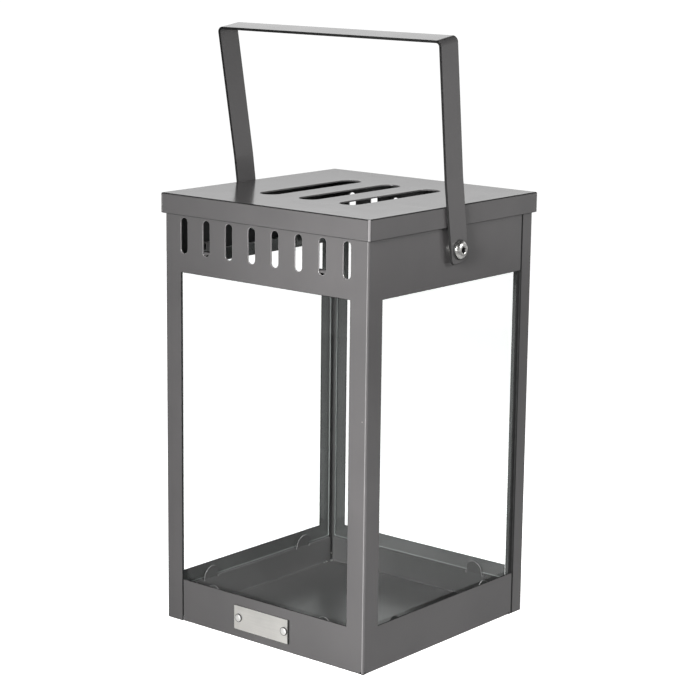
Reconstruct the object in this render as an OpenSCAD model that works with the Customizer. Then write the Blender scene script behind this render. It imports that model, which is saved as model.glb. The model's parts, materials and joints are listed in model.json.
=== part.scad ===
// Candle lantern. Two bent sheet shells are joined corner to corner round a folded pan.
// Four panes stand on the pan's ledge, a loose lid drops over the top edge,
// and a strap handle swings on two shoulder bushes.
// +Z is up, the front face with the name plate looks along -Y, and z = 0 is the ground.

/* [Body] */
// Width of the body across its flat faces, the same both ways
body_w = 180; // [170:1:200]
// Height of the body's top edge
body_h = 302.7; // [295:0.1:320]
// Thickness of the shells' sheet
sheet_t = 1; // [0.8:0.1:1.2]
// Outside radius of the shells' vertical bends
bend_r = 1.6; // [1.3:0.1:2.5]

/* [Windows] */
// Width of the posts beside the front window and the side windows
post_w = 15; // [14:0.5:18]
// Width of the posts beside the rear window
rear_post_w = 15; // [12.5:0.5:18]
// Width of the leg that each shell wraps round the corner
leg_w = 11.4; // [10:0.1:12.5]
// Height of the rail under the windows
rail_h = 31; // [28:0.5:34]
// Height of the windows' top edge
window_top = 250.2; // [240:0.1:252]
// Open joint between a leg and the rail and band that meet it
seam_gap = 0.8; // [0.4:0.1:1]
// Slit between the rail and the post that it runs up to
rail_slit = 0.6; // [0.4:0.1:1]
// Width of the flange turned in under each rail
rail_flange = 6; // [4:0.5:8]

/* [Vents] */
// Number of vent slots in the front band, and in the rear one
vent_count = 8; // [4:2:8]
// Distance from one vent slot to the next
vent_pitch = 20.6; // [16:0.1:21]
// Width of a vent slot
vent_w = 6.1; // [4:0.1:8]
// Height of a vent slot
vent_h = 24.5; // [18:0.5:25]
// Height of the vent slots' centres
vent_z = 275.8; // [275:0.1:276.5]

/* [Tray] */
// Thickness of the pan's sheet
tray_t = 0.8; // [0.6:0.1:1]
// Clear space between the shells and the pan's walls
tray_inset = 3.8; // [3.6:0.1:4.5]
// Height of the ledge that the panes stand on
ledge_z = 21.5; // [18:0.5:23]
// Width of the pan's half-round glass tabs
tab_w = 13; // [10:0.5:14]
// Length of a glass tab above the ledge
tab_len = 9; // [8:0.5:10]
// Angle that the tabs lean in from the panes
tab_lean = 14; // [5:1:20]
// Distance between the two tabs or clips on one side
tab_pitch = 101; // [90:1:110]

/* [Glass] */
// Thickness of a pane
glass_t = 2; // [1.8:0.1:2.1]
// Width of a pane
glass_w = 166; // [160:1:168]
// Height of the panes' top edge
glass_top = 260; // [256:0.5:261]

/* [Lid] */
// Space between the body and the lid's rim
lid_gap = 1.2; // [0.5:0.1:1.2]
// Thickness of the lid's sheet
lid_t = 1; // [0.8:0.1:1.2]
// Space between the body's top edge and the lid's underside
lid_rest_gap = 0.3; // [0.3:0.1:0.5]
// Height of the lid's rim
rim_h = 14; // [12:0.5:14]
// Number of long slots in the lid
lid_slot_count = 3; // [1:1:3]
// Width of a long slot
lid_slot_w = 16; // [10:0.5:20]
// Length of a long slot
lid_slot_l = 100; // [60:1:120]
// Distance from one long slot to the next
lid_slot_pitch = 35.5; // [30:0.5:40]

/* [Handle] */
// Height of the handle's pivots
pivot_z = 274.5; // [273:0.1:276]
// Width of the strap
strap_w = 18.6; // [16:0.1:20]
// Thickness of the strap
strap_t = 1.8; // [1.5:0.1:2]
// Reach from the pivots to the top of the bar
handle_reach = 141.7; // [130:0.1:160]
// Length of the straight stretch of a leg above its pivot
leg_straight = 48; // [35:1:60]
// Angle that the legs spread above the straight stretch
leg_spread = 2; // [0:0.5:4]
// Angle that the handle leans forward as it stands
handle_tilt = 8.3; // [0:0.1:12]
// Outside radius of the handle's two top bends
handle_bend_r = 4; // [3:0.5:8]
// Corner radius of the legs' lower ends
leg_end_r = 4; // [2:0.5:6]

/* [Pivots] */
// Space between the body and the strap
standoff = 2.7; // [2.7:0.1:4]
// Radius of the pivot screws' shanks
screw_r = 3; // [2.5:0.5:3]
// Radius of the sleeve that the handle turns on
sleeve_r = 4.5; // [4:0.1:5]
// Running clearance between the sleeve and the strap's hole
running_gap = 0.05; // [0.03:0.01:0.08]
// Side play of the strap on each side
side_play = 0.3; // [0.3:0.05:0.4]
// Radius of the pivot screws' heads
head_r = 6.25; // [5.5:0.05:6.5]
// Height of the pivot screws' heads
head_h = 2.7; // [2.4:0.1:3.3]
// Width across flats of the socket in a screw's head
socket_af = 4; // [3:0.5:4]

/* [Name plate] */
// Width of the name plate
plate_w = 50.4; // [40:0.2:60]
// Height of the name plate
plate_h = 17.4; // [12:0.2:20]
// Thickness of the name plate
plate_t = 0.6; // [0.4:0.1:0.8]
// Height of the name plate's centre
plate_z = 14.9; // [12:0.1:17]
// Distance between the two plate rivets
rivet_pitch = 41.6; // [30:0.2:44]

/* [Hidden] */

// Facets of a full circle
$fn = 48;
// Overrun of a cut past the face that it goes through
cut = 1;
// Overlap of two shapes of one solid that would only touch
join = 0.1;
// Space between sheets that lie side by side
lay_gap = 0.2;

half = body_w / 2;
wall_in = half - sheet_t;
ledge_in = wall_in - tray_inset;
// A leg's edge steps in behind its neighbour, and its last stretch is joined to it over the lap
lap = 1.5;
flange_end_gap = 0.5;
// The ledge stops just short of the stepped edge
ledge_out = wall_in - sheet_t - lay_gap;
tab_relief = 1.5;
corner_slit = 0.5;
ledge_end_gap = 3;
tab_straight = tab_len - tab_w / 2;

// The panes stand on the ledge, clear of the walls
pane_out = ledge_out - lay_gap;
pane_in = pane_out - glass_t;
pane_lift = 0.1;

// Clips that hook over the panes' top edges
clip_t = 0.8;
clip_w = 12;
clip_out = wall_in - pane_lift;
clip_setback = 1.8;
clip_in = pane_in - clip_setback;
clip_foot_z = 252;
clip_top_z = 266;
clip_lip_z = 254.5;
clip_hole_r = 2.75;
clip_hole_z = 262;

lid_half = half + lid_gap + lid_t;
lid_under = body_h + lid_rest_gap;
lid_top = lid_under + lid_t;
lid_corner_r = 1.4;

strap_in = half + standoff;
strap_out = strap_in + strap_t;
leg_end = strap_w / 2;
shank_gap = 0.05;
flange_r = 6.6;
flange_x = strap_in - side_play;
sleeve_x = strap_out + side_play;
washer_r = 6.85;
washer_t = 0.5;
head_x = sleeve_x + washer_t;
head_rim = 0.7;
head_flat_r = 3;
socket_depth = 1.8;
inner_washer_t = 1;
inner_washer_r = 6.2;
nut_af = 10;
nut_body = 4.4;
nut_h = 6.4;
nut_collar_r = 4.3;
shank_tip = 1.2;
shank_end_x = wall_in - inner_washer_t - nut_h - shank_tip;

rivet_r = 1.2;
rivet_head_r = 2.9;
rivet_head_h = 1.3;
rivet_tail_r = 1.7;
rivet_tail = 0.7;
plate_corner_r = 0.8;

coat_dark = [0.29, 0.28, 0.28];
coat_light = [0.36, 0.35, 0.35];
steel = [0.75, 0.75, 0.74];
glass_tint = [0.85, 0.92, 0.92, 0.3];
nylon = [0.08, 0.08, 0.08];

// ---- Outlines ----

// Rectangle with round corners, centred
module rounded_rect(w, h, r) {
    square([w - 2 * r, h], center = true);
    square([w, h - 2 * r], center = true);
    for (x = [-1, 1], y = [-1, 1])
        translate([x * (w / 2 - r), y * (h / 2 - r)]) circle(r);
}

// Slot with round ends that runs along Y, centred
module slot(length, width) {
    square([width, length - width], center = true);
    for (y = [-1, 1])
        translate([0, y * (length - width) / 2]) circle(width / 2);
}

// Round disc or rod along +X
module rod_x(r, from, to) {
    translate([from, 0, 0]) rotate([0, 90, 0]) cylinder(r = r, h = to - from);
}

// Flat ring along +X
module ring_x(r, bore, from, to) {
    difference() {
        rod_x(r, from, to);
        rod_x(bore, from - cut, to + cut);
    }
}

// ---- Shells ----

// Plan of one shell: a leg, the vent face and the side face up to the other shell's leg
module shell_plan() {
    intersection() {
        difference() {
            rounded_rect(body_w, body_w, bend_r);
            rounded_rect(2 * wall_in, 2 * wall_in, bend_r - sheet_t);
        }
        union() {
            translate([-half, -half]) square([body_w, leg_w]);
            translate([half - leg_w, -half]) square([leg_w, body_w - leg_w - seam_gap]);
        }
    }
    // The leg's edge steps in by one sheet and carries on behind the neighbouring rail and band
    translate([-wall_in, leg_w - half - lap]) square([sheet_t, post_w - leg_w + lap]);
}

// Flanges turned in under the two rails
module rail_flanges(window_half) {
    linear_extrude(sheet_t) intersection() {
        rounded_rect(body_w, body_w, bend_r);
        union() {
            translate([flange_end_gap - window_half, -half])
                square([window_half - flange_end_gap + half, sheet_t + rail_flange]);
            translate([wall_in - rail_flange, -half])
                square([sheet_t + rail_flange, body_w - post_w - flange_end_gap]);
        }
    }
}

// Row of vent slots through the vent face
module vent_cuts() {
    for (i = [0 : vent_count - 1])
        translate([(i - (vent_count - 1) / 2) * vent_pitch, -half - cut, vent_z])
            rotate([-90, 0, 0]) linear_extrude(sheet_t + 2 * cut) slot(vent_h, vent_w);
}

// One shell, as it stands at the front. The rear one is turned half a turn.
module shell(face_post) {
    window_half = half - face_post;
    window_h = window_top - rail_h;
    difference() {
        union() {
            linear_extrude(body_h) shell_plan();
            rail_flanges(window_half);
        }
        translate([-window_half, -half - cut, rail_h])
            cube([2 * window_half, sheet_t + 2 * cut, window_h]);
        translate([wall_in - cut, post_w - half, rail_h])
            cube([sheet_t + 2 * cut, body_w - post_w, window_h]);
        translate([-window_half, -half - cut, -cut])
            cube([rail_slit, sheet_t + 2 * cut, rail_h + 2 * cut]);
        vent_cuts();
        translate([0, 0, pivot_z]) rod_x(screw_r + shank_gap, wall_in - cut, half + cut);
    }
}

module front_shell() {
    color(coat_light) difference() {
        shell(post_w);
        for (s = [-1, 1])
            translate([s * rivet_pitch / 2, -half - cut, plate_z]) rotate([-90, 0, 0])
                cylinder(r = rivet_r + shank_gap, h = sheet_t + 2 * cut);
    }
}

module rear_shell() {
    color(coat_dark) rotate([0, 0, 180]) shell(rear_post_w);
}

// ---- Tray ----

// One half-round glass tab on the -Y wall
module tray_tab() {
    translate([0, -ledge_in, ledge_z - tray_t]) rotate([90 - tab_lean, 0, 0])
        translate([0, 0, -tray_t]) linear_extrude(tray_t) {
            translate([-tab_w / 2, 0]) square([tab_w, tray_t + tab_straight]);
            translate([0, tray_t + tab_straight]) circle(tab_w / 2);
        }
}

// One wall of the pan with its ledge and tabs, on the -Y side
module tray_wall() {
    wall_half = ledge_in - tray_t - corner_slit;
    ledge_half = ledge_in - ledge_end_gap;
    notch = tab_w + 2 * tab_relief;
    translate([-wall_half, -ledge_in, sheet_t])
        cube([2 * wall_half, tray_t, ledge_z - sheet_t]);
    difference() {
        translate([-ledge_half, -ledge_out, ledge_z - tray_t])
            cube([2 * ledge_half, ledge_out - ledge_in + tray_t / 2, tray_t]);
        for (s = [-1, 1])
            translate([s * tab_pitch / 2 - notch / 2, -ledge_out - cut, ledge_z - tray_t - cut])
                cube([notch, ledge_out - ledge_in + cut, tray_t + 2 * cut]);
    }
    for (s = [-1, 1])
        translate([s * tab_pitch / 2, 0, 0]) tray_tab();
}

module base_tray() {
    color(coat_dark) {
        translate([-ledge_in, -ledge_in, sheet_t]) cube([2 * ledge_in, 2 * ledge_in, tray_t]);
        for (a = [0 : 90 : 270])
            rotate([0, 0, a]) tray_wall();
    }
}

// ---- Glass ----

// One pane, on the -Y side
module pane() {
    color(glass_tint) translate([-glass_w / 2, -pane_out, ledge_z + pane_lift])
        cube([glass_w, glass_t, glass_top - ledge_z - pane_lift]);
}

module front_glass() { pane(); }
module right_glass() { rotate([0, 0, 90]) pane(); }
module rear_glass() { rotate([0, 0, 180]) pane(); }
module left_glass() { rotate([0, 0, 270]) pane(); }

// One clip on the -Y side: a foot on the band, a bridge over the pane and a half-round lip
module glass_clip() {
    difference() {
        union() {
            translate([-clip_w / 2, -clip_out, clip_foot_z])
                cube([clip_w, clip_t, clip_top_z - clip_foot_z]);
            translate([-clip_w / 2, -clip_out, clip_top_z - clip_t])
                cube([clip_w, clip_out - clip_in + clip_t, clip_t]);
            translate([0, -clip_in, 0]) rotate([90, 0, 0]) translate([0, 0, -clip_t])
                linear_extrude(clip_t) {
                    translate([0, clip_lip_z + clip_w / 2]) circle(clip_w / 2);
                    translate([-clip_w / 2, clip_lip_z + clip_w / 2])
                        square([clip_w, clip_top_z - clip_lip_z - clip_w / 2]);
                }
        }
        translate([0, -clip_out - cut, clip_hole_z]) rotate([-90, 0, 0])
            cylinder(r = clip_hole_r, h = clip_t + 2 * cut);
    }
}

// The pair of clips on the -Y side
module clip_pair() {
    color(coat_dark) for (s = [-1, 1])
        translate([s * tab_pitch / 2, 0, 0]) glass_clip();
}

module front_glass_clips() { clip_pair(); }
module right_glass_clips() { rotate([0, 0, 90]) clip_pair(); }
module rear_glass_clips() { rotate([0, 0, 180]) clip_pair(); }
module left_glass_clips() { rotate([0, 0, 270]) clip_pair(); }

// ---- Lid ----

module lid() {
    inner_w = 2 * (lid_half - lid_t);
    color(coat_light) difference() {
        translate([0, 0, lid_top - rim_h]) linear_extrude(rim_h)
            rounded_rect(2 * lid_half, 2 * lid_half, lid_corner_r);
        translate([0, 0, lid_top - rim_h - cut]) linear_extrude(rim_h - lid_t + cut)
            rounded_rect(inner_w, inner_w, lid_corner_r - lid_t);
        for (i = [0 : lid_slot_count - 1])
            translate([(i - (lid_slot_count - 1) / 2) * lid_slot_pitch, 0, lid_under - cut])
                linear_extrude(lid_t + 2 * cut) slot(lid_slot_l, lid_slot_w);
    }
}

// ---- Handle ----

// Half of the strap's bent outline at a given distance inside its outer face, from bar to leg end.
// x is the distance from the middle and y the height above the pivots.
function strap_side(inset) =
    let (steps = 8,
        r = handle_bend_r - inset,
        cy = handle_reach - handle_bend_r,
        cx = strap_out + (cy - leg_straight) * tan(leg_spread) - handle_bend_r / cos(leg_spread))
    concat(
        [for (i = [0 : steps]) let (a = 90 - i * (90 + leg_spread) / steps)
            [cx + r * cos(a), cy + r * sin(a)]],
        [[strap_out - inset, leg_straight], [strap_out - inset, -leg_end]]);

function mirrored(points) = [for (i = [len(points) - 1 : -1 : 0]) [-points[i].x, points[i].y]];

module strap_outline() {
    outer = strap_side(0);
    inner = strap_side(strap_t);
    difference() {
        polygon(concat(outer, mirrored(outer)));
        polygon(concat(inner, mirrored(inner)));
    }
}

// Everything that the legs' rounded lower ends leave standing, seen from the side
module leg_end_outline() {
    translate([0, leg_end_r - leg_end]) {
        square([strap_w - 2 * leg_end_r, 2 * leg_end_r], center = true);
        for (s = [-1, 1])
            translate([s * (leg_end - leg_end_r), 0]) circle(leg_end_r);
        translate([-leg_end, 0]) square([strap_w, handle_reach + leg_end]);
    }
}

module handle() {
    wide = 2 * (strap_out + handle_reach);
    color(coat_light) translate([0, 0, pivot_z]) rotate([handle_tilt, 0, 0]) difference() {
        intersection() {
            translate([0, strap_w / 2, 0]) rotate([90, 0, 0]) linear_extrude(strap_w)
                strap_outline();
            translate([-wide / 2, 0, 0]) rotate([90, 0, 90]) linear_extrude(wide)
                leg_end_outline();
        }
        rod_x(sleeve_r + running_gap, -strap_out - cut, strap_out + cut);
    }
}

// ---- Pivots, drawn for the +X side ----

module pivot_bush() {
    color(steel) {
        ring_x(flange_r, screw_r + shank_gap, half, flange_x);
        ring_x(sleeve_r, screw_r + shank_gap, half, sleeve_x);
    }
}

module nylon_washer() {
    color(nylon) ring_x(washer_r, screw_r + shank_gap, sleeve_x, head_x);
}

// Button head with a hexagon socket, on a plain shank
module pivot_screw() {
    dome_h = head_h - head_rim;
    // The dome is an arc through the rim's edge and the flat round the socket
    dome_r = (dome_h * dome_h + pow(head_r - head_flat_r, 2)) / (2 * dome_h);
    color(steel) difference() {
        union() {
            rod_x(screw_r, shank_end_x, head_x + join);
            translate([head_x, 0, 0]) rotate([0, 90, 0]) rotate_extrude() {
                square([head_r, head_rim]);
                intersection() {
                    translate([head_flat_r, head_h - dome_r]) circle(dome_r);
                    translate([head_flat_r - cut, head_rim / 2]) square([head_r + cut, head_h]);
                }
                square([head_flat_r, head_h]);
            }
        }
        translate([head_x + head_h - socket_depth, 0, 0]) rotate([0, 90, 0])
            cylinder(r = socket_af / 2 / cos(30), h = socket_depth + cut, $fn = 6);
    }
}

module inner_washer() {
    color(steel) ring_x(inner_washer_r, screw_r + shank_gap, wall_in - inner_washer_t, wall_in);
}

// Hexagon lock nut with a round collar
module lock_nut() {
    nut_x = wall_in - inner_washer_t;
    color(steel) difference() {
        union() {
            translate([nut_x - nut_body, 0, 0]) rotate([0, 90, 0])
                cylinder(r = nut_af / 2 / cos(30), h = nut_body, $fn = 6);
            rod_x(nut_collar_r, nut_x - nut_h, nut_x);
        }
        rod_x(screw_r + shank_gap, nut_x - nut_h - cut, nut_x + cut);
    }
}

// Places a pivot piece on the +X side, or mirrors it to the other
module on_side(s) {
    translate([0, 0, pivot_z]) mirror([s < 0 ? 1 : 0, 0, 0]) children();
}

module right_pivot_bush() { on_side(1) pivot_bush(); }
module left_pivot_bush() { on_side(-1) pivot_bush(); }
module right_nylon_washer() { on_side(1) nylon_washer(); }
module left_nylon_washer() { on_side(-1) nylon_washer(); }
module right_pivot_screw() { on_side(1) pivot_screw(); }
module left_pivot_screw() { on_side(-1) pivot_screw(); }
module right_inner_washer() { on_side(1) inner_washer(); }
module left_inner_washer() { on_side(-1) inner_washer(); }
module right_lock_nut() { on_side(1) lock_nut(); }
module left_lock_nut() { on_side(-1) lock_nut(); }

// ---- Name plate ----

module name_plate() {
    color(steel) difference() {
        translate([0, -half, plate_z]) rotate([90, 0, 0]) linear_extrude(plate_t)
            rounded_rect(plate_w, plate_h, plate_corner_r);
        for (s = [-1, 1])
            translate([s * rivet_pitch / 2, -half + cut, plate_z]) rotate([90, 0, 0])
                cylinder(r = rivet_r + shank_gap, h = plate_t + 2 * cut);
    }
}

// Domed rivet through the plate and the rail, with an upset tail
module plate_rivet() {
    cap_r = (rivet_head_h * rivet_head_h + rivet_head_r * rivet_head_r) / (2 * rivet_head_h);
    tail_z = -plate_t - sheet_t - rivet_tail;
    color(steel) translate([0, -half - plate_t, plate_z]) rotate([90, 0, 0]) {
        rotate_extrude() intersection() {
            translate([0, rivet_head_h - cap_r]) circle(cap_r);
            square([rivet_head_r + cut, rivet_head_h + cut]);
        }
        translate([0, 0, tail_z]) cylinder(r = rivet_r, h = join - tail_z);
        translate([0, 0, tail_z]) cylinder(r = rivet_tail_r, h = rivet_tail);
    }
}

module left_plate_rivet() { translate([-rivet_pitch / 2, 0, 0]) plate_rivet(); }
module right_plate_rivet() { translate([rivet_pitch / 2, 0, 0]) plate_rivet(); }

front_shell();
rear_shell();
base_tray();
front_glass();
rear_glass();
left_glass();
right_glass();
front_glass_clips();
rear_glass_clips();
left_glass_clips();
right_glass_clips();
lid();
handle();
left_pivot_bush();
right_pivot_bush();
left_nylon_washer();
right_nylon_washer();
left_pivot_screw();
right_pivot_screw();
left_inner_washer();
right_inner_washer();
left_lock_nut();
right_lock_nut();
name_plate();
left_plate_rivet();
right_plate_rivet();
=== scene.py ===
"""Looks of the candle lantern: folded sheet pieces, glass, hardware, materials, camera and light.

Lengths in the piece builders are millimetres, and become metres as the vertices are made.
"""

import json
import math

import bmesh
import bpy
from mathutils import Matrix, Vector
from mathutils.geometry import delaunay_2d_cdt


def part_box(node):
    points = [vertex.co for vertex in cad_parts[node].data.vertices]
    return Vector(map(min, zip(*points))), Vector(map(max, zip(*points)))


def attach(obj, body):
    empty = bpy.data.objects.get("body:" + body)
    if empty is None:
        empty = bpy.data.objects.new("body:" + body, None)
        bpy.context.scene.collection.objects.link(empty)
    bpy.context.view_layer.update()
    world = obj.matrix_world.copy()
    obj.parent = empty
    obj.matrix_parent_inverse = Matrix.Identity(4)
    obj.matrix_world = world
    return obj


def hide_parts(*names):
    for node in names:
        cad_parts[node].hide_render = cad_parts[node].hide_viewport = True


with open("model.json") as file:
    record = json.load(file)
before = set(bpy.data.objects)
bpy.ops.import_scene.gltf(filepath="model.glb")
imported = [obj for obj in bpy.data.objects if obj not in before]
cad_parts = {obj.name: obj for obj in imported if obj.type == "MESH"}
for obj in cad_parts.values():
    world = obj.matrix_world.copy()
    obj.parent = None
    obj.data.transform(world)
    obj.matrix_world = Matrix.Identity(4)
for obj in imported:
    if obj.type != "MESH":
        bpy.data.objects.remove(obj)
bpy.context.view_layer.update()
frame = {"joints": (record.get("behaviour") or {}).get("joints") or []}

MM = 0.001


def cad_box(node):
    """Lowest and highest corner of a CAD node, in millimetres."""
    low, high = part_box(node)
    return low / MM, high / MM


# ---- Sizes, from the frame where a node's box gives them ----

SHELL_HIGH = cad_box("front_shell")[1]
HALF = SHELL_HIGH.x
BODY_TOP = SHELL_HIGH.z
SHEET = 1.0
BEND_R = 1.6
POST_W = 15.0
LEG_W = 11.4
# Half a millimetre wider than the CAD's open joint, so that its dark line shows
SEAM_GAP = 1.3
RAIL_H = 31.0
WINDOW_TOP = 250.2
RAIL_SLIT = 0.6
RAIL_FLANGE = 7.0

VENT_COUNT = 8
VENT_PITCH = 20.6
VENT_W = 6.1
VENT_H = 24.5
VENT_Z = 275.8

TRAY_BOTTOM = cad_box("base_tray")[0].z
LEDGE_OUT = cad_box("base_tray")[1].x
TRAY_T = 0.8
TRAY_WALL = 85.2
LEDGE_Z = 21.5
TAB_W = 13.0
TAB_LEN = 9.8
TAB_LEAN = 14.0
TAB_PITCH = 101.0

PANE_LOW, PANE_HIGH = cad_box("front_glass")
CLIP_LOW, CLIP_HIGH = cad_box("front_glass_clips")
CLIP_T = 0.8
CLIP_W = 12.0
CLIP_HOLE_R = 2.75
CLIP_HOLE_Z = 262.0

LID_LOW, LID_HIGH = cad_box("lid")
LID_T = 1.0
LID_FOLD_R = 1.3
LID_SLOT_COUNT = 3
LID_SLOT_W = 16.0
LID_SLOT_L = 100.0
LID_SLOT_PITCH = 35.5

SWING = next(j for j in frame["joints"] if j["name"] == "handle_swing")
PIVOT_Z = SWING["pos_m"][2] / MM
WASHER_LOW, WASHER_HIGH = cad_box("right_nylon_washer")
STRAP_W = 18.6
STRAP_T = 1.8
STRAP_PLAY = 0.3
STRAP_OUT = WASHER_LOW.x - STRAP_PLAY
HANDLE_REACH = 141.7
LEG_STRAIGHT = 48.0
LEG_SPREAD = 2.0
HANDLE_TILT = math.radians(8.3)
HANDLE_BEND_R = 4.0
LEG_END_R = 4.0
SLEEVE_R = 4.5
SCREW_R = 3.0
FIT = 0.05

PLATE_LOW, PLATE_HIGH = cad_box("name_plate")
RIVET_X = sum(corner.x for corner in cad_box("right_plate_rivet")) / 2
RIVET_Z = (PLATE_LOW.z + PLATE_HIGH.z) / 2
RIVET_R = 1.2

# Radius of a coated edge and of a cut corner, and the largest angle between two facets of a bend
EDGE = 0.22
CUT_R = 0.4
BEND_STEP = 15.0
# Points this close to a crease are on it, and creases reach this far unless they say otherwise
NEAR = 1e-3
FAR = 1e4
# Material indices of a piece: its outer faces, a sheet's inner face, faces set apart, and cut edges
OUTER, INNER, APART, RIM = range(4)


# ---- Outlines: closed loops of (u, v) points, with the sheet on their left ----

def arc_points(cx, cy, r, start, end, step=BEND_STEP):
    """Points on an arc from start to end, in degrees, both ends included."""
    count = max(1, math.ceil(abs(end - start) / step))
    angles = [math.radians(start + (end - start) * i / count) for i in range(count + 1)]
    return [(cx + r * math.cos(a), cy + r * math.sin(a)) for a in angles]


def filleted(corners, step=30.0):
    """Points through corners given as (u, v, radius), with round corners where the radius isn't 0."""
    points = []
    for i, (u, v, r) in enumerate(corners):
        if not r:
            points.append((u, v))
            continue
        here = Vector((u, v))
        before = (Vector(corners[i - 1][:2]) - here).normalized()
        after = (Vector(corners[(i + 1) % len(corners)][:2]) - here).normalized()
        half = before.angle(after) / 2
        centre = here + (before + after).normalized() * (r / math.sin(half))
        first = here + before * (r / math.tan(half)) - centre
        sweep = math.degrees(math.pi - 2 * half)
        if before.x * after.y - before.y * after.x > 0:
            sweep = -sweep
        start = math.degrees(math.atan2(first.y, first.x))
        points += arc_points(centre.x, centre.y, r, start, start + sweep, step)
    return points


def rectangle(u0, v0, u1, v1, r):
    return filleted([(u0, v0, r), (u1, v0, r), (u1, v1, r), (u0, v1, r)])


def round_hole(cu, cv, r, step=7.5):
    """Hole loop, which runs clockwise."""
    return arc_points(cu, cv, r, 360, 0, step)[:-1]


def slot_hole(cu, cv, width, height):
    """Hole loop with round ends, longer in v."""
    r = width / 2
    reach = height / 2 - r
    return arc_points(cu, cv + reach, r, 180, 0, 10) + arc_points(cu, cv - reach, r, 0, -180, 10)


def offset(loop, inset):
    """The loop moved to its left by inset, with mitred corners."""
    moved = []
    for i, point in enumerate(loop):
        here = Vector(point)
        come = (here - Vector(loop[i - 1])).normalized()
        go = (Vector(loop[(i + 1) % len(loop)]) - here).normalized()
        left_in, left_out = Vector((-come.y, come.x)), Vector((-go.y, go.x))
        mitre = left_in + left_out
        moved.append(tuple(here + mitre * (2 * inset / mitre.length_squared)))
    return moved


def crossed(loop, creases):
    """The loop with a point added wherever a crease crosses it."""
    points = []
    for i, p in enumerate(loop):
        q = loop[(i + 1) % len(loop)]
        shares = []
        for axis, at, low, high in creases:
            a, b = p[axis] - at, q[axis] - at
            if a * b < 0:
                share = a / (a - b)
                other = p[1 - axis] + share * (q[1 - axis] - p[1 - axis])
                if low - NEAR <= other <= high + NEAR:
                    shares.append(share)
        points.append(p)
        points += [(p[0] + s * (q[0] - p[0]), p[1] + s * (q[1] - p[1])) for s in sorted(shares)]
    return points


def inside(u, v, loops):
    """True if the point lies in the sheet, by counting the edges to its right."""
    odd = False
    for loop in loops:
        for i, (u1, v1) in enumerate(loop):
            u0, v0 = loop[i - 1]
            if (v0 > v) != (v1 > v) and u < u0 + (v - v0) / (v1 - v0) * (u1 - u0):
                odd = not odd
    return odd


def filled(loops, creases):
    """Triangles that fill the loops and never span a crease, as indices into the loops' points in order."""
    points = [Vector(p) for loop in loops for p in loop]
    edges = []
    for loop in loops:
        first = len(edges)
        edges += [(first + i, first + (i + 1) % len(loop)) for i in range(len(loop))]
    for axis, at, low, high in creases:
        on = sorted((p[1 - axis], i) for i, p in enumerate(points)
                    if abs(p[axis] - at) < NEAR and low - NEAR <= p[1 - axis] <= high + NEAR)
        for (v0, i), (v1, j) in zip(on, on[1:]):
            middle = (at, (v0 + v1) / 2) if axis == 0 else ((v0 + v1) / 2, at)
            if v1 - v0 > NEAR and inside(*middle, loops):
                edges.append((i, j))
    _, _, faces, sources, _, _ = delaunay_2d_cdt(points, edges, [], 0, 1e-5)
    triangles = [[sources[i][0] for i in face] for face in faces]
    return [t for t in triangles if inside(*(sum((points[i] for i in t), Vector((0, 0))) / 3), loops)]


# ---- Meshes ----

def finished(name, bm, material, body, slot, *nodes, inner=None, apart=None, rim=None):
    """Makes the piece's object: smooth, with normals led by its large faces, riding on its body."""
    bmesh.ops.remove_doubles(bm, verts=bm.verts, dist=1e-7)
    bmesh.ops.recalc_face_normals(bm, faces=bm.faces)
    for face in bm.faces:
        face.smooth = True
    mesh = bpy.data.meshes.new(name)
    bm.to_mesh(mesh)
    bm.free()
    mesh.materials.append(material)
    for other in (inner, apart, rim):
        mesh.materials.append(other or material)
    piece = bpy.data.objects.new(name, mesh)
    bpy.context.scene.collection.objects.link(piece)
    normals = piece.modifiers.new("face_led_normals", "WEIGHTED_NORMAL")
    normals.weight = 80
    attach(piece, body)
    if nodes:
        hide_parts(*nodes)


def add_sheet(bm, loops, thick, place, creases=(), edge=EDGE, rims=(OUTER, OUTER), zone=None):
    """Adds a bent sheet with rounded edges.

    place(u, v, depth) takes a point of the flat sheet, depth under its outer face, to where it is
    when the sheet is bent. Seen from outside, v is to the left of u. rims holds the material index of
    the outline's and the holes' cut edges, and zone(u, v) gives the outer face's.
    """
    loops = [crossed(loop, creases) for loop in loops]
    angles = [math.radians(a) for a in (0, 30, 60, 90)]
    steps = [(edge * (1 - math.sin(a)), edge * (1 - math.cos(a))) for a in angles]
    steps += [(inset, thick - depth) for inset, depth in reversed(steps)]
    rings = []
    for inset, depth in steps:
        rings.append([[bm.verts.new(Vector(place(u, v, depth)) * MM) for u, v in offset(loop, inset)]
                      for loop in loops])
    for upper, lower in zip(rings, rings[1:]):
        for k, (above, below) in enumerate(zip(upper, lower)):
            for i in range(len(above)):
                face = bm.faces.new((above[i - 1], below[i - 1], below[i], above[i]))
                face.material_index = rims[min(k, 1)]
    triangles = filled([offset(loop, edge) for loop in loops], creases)
    top = [vert for loop in rings[0] for vert in loop]
    bottom = [vert for loop in rings[-1] for vert in loop]
    flat = [Vector(point) for loop in loops for point in offset(loop, edge)]
    for a, b, c in triangles:
        face = bm.faces.new((top[a], top[b], top[c]))
        if zone:
            face.material_index = zone(*((flat[a] + flat[b] + flat[c]) / 3))
        bm.faces.new((bottom[c], bottom[b], bottom[a])).material_index = INNER


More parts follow.
